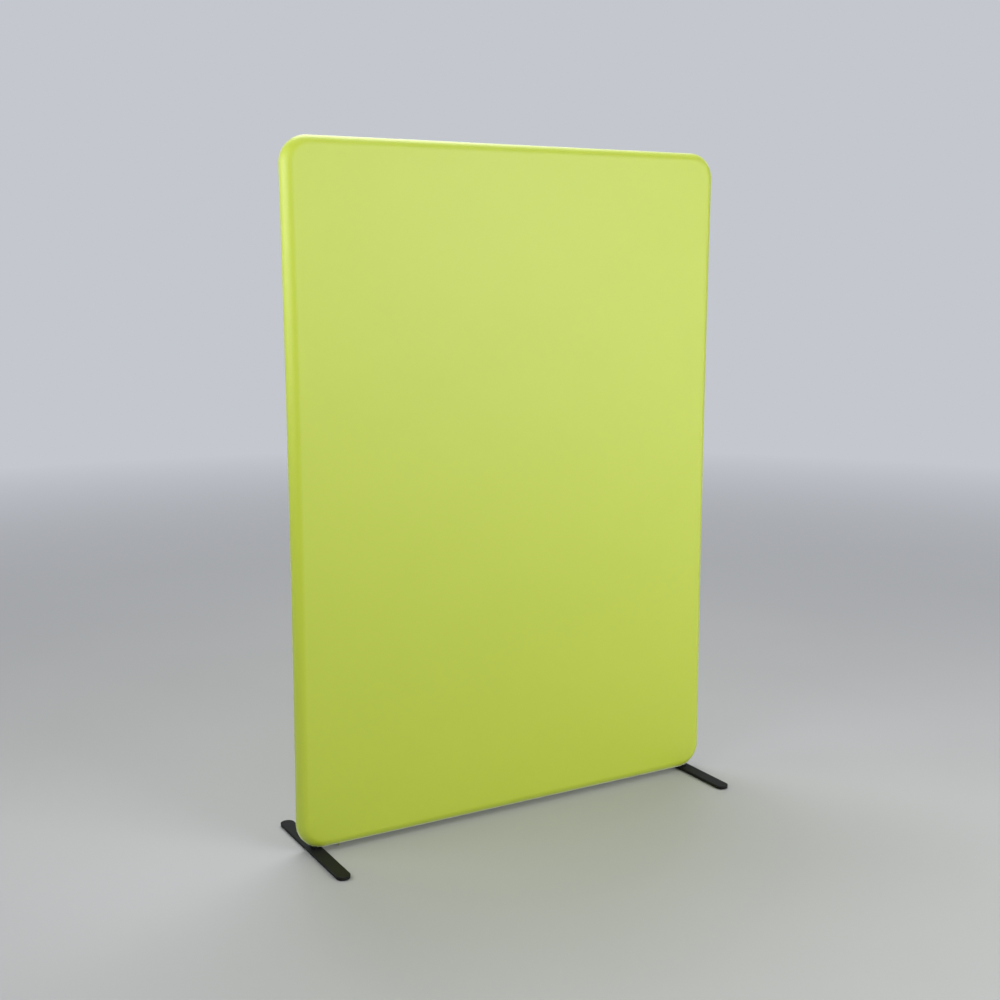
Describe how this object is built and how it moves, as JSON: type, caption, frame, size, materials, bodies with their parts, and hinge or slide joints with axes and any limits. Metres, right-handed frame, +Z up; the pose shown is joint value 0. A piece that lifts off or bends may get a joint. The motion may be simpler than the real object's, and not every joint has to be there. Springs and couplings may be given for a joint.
{
  "type": "acoustic divider screen",
  "caption": "Tall padded room divider: a rounded rectangular panel in a smooth fabric sleeve, standing on flat steel feet set across its lower corners.",
  "frame": {"origin": "on the floor, under the middle of the panel and of its two feet", "axes": "+X along the panel's width, to the right as seen from the front; +Y towards the back; +Z up"},
  "size_m": [1.2, 0.38, 1.685],
  "materials": {
    "cover_fabric": "smooth lime-green stretch upholstery fabric, matt with a soft sheen",
    "face_wadding": "white polyester wadding",
    "edge_foam": "pale grey soft foam",
    "frame_timber": "planed pine",
    "corner_plywood": "birch plywood, sanded",
    "dowel_beech": "fluted beech",
    "zinc_steel": "zinc-plated",
    "absorber_felt": "grey recycled-fibre felt board",
    "black_powder_coat": "black powder coat, satin with a fine texture",
    "pad_rubber": "black rubber",
    "black_oxide_steel": "black oxide",
    "insert_brass": "turned",
    "zip_tape": "woven polyester tape, dyed to match the sleeve",
    "zip_coil": "polyester coil, dyed to match the sleeve",
    "zip_metal": "die-cast metal, lacquered to match the sleeve"
  },
  "bodies": {
    "root": {"cover_front": "cover_fabric", "cover_back": "cover_fabric", "padding_front": "face_wadding", "padding_back": "face_wadding", "padding_edge_strip": "edge_foam", "frame_left_stile": "frame_timber", "frame_right_stile": "frame_timber", "frame_top_rail": "frame_timber", "frame_bottom_rail": "frame_timber", "frame_cross_rail": "frame_timber", "corner_block_top_left": "corner_plywood", "corner_block_top_right": "corner_plywood", "corner_block_bottom_left": "corner_plywood", "corner_block_bottom_right": "corner_plywood", "frame_dowels": "dowel_beech", "cross_rail_screws": "zinc_steel", "absorber_upper": "absorber_felt", "absorber_lower": "absorber_felt", "foot_left": "black_powder_coat", "foot_right": "black_powder_coat", "foot_pads": "pad_rubber", "foot_screws": "black_oxide_steel", "foot_spacers": "black_oxide_steel", "insert_nuts": "insert_brass", "zip_tape_front": "zip_tape", "zip_tape_back": "zip_tape", "zip_coil_front": "zip_coil", "zip_coil_back": "zip_coil", "zip_stops": "zip_metal"},
    "zip_slider": {"zip_slider": "zip_metal"},
    "zip_pull": {"zip_pull_tab": "zip_metal"}
  },
  "joints": [
    {"name": "zip_travel", "type": "slide", "parent": "root", "child": "zip_slider", "axis": [1, 0, 0], "range_m": [0, 0.987]},
    {"name": "pull_tab_swing", "type": "hinge", "parent": "zip_slider", "child": "zip_pull", "pos_m": [-0.4935, 0, 0.00865], "axis": [0, 1, 0], "range_deg": [-75, 75]}
  ]
}
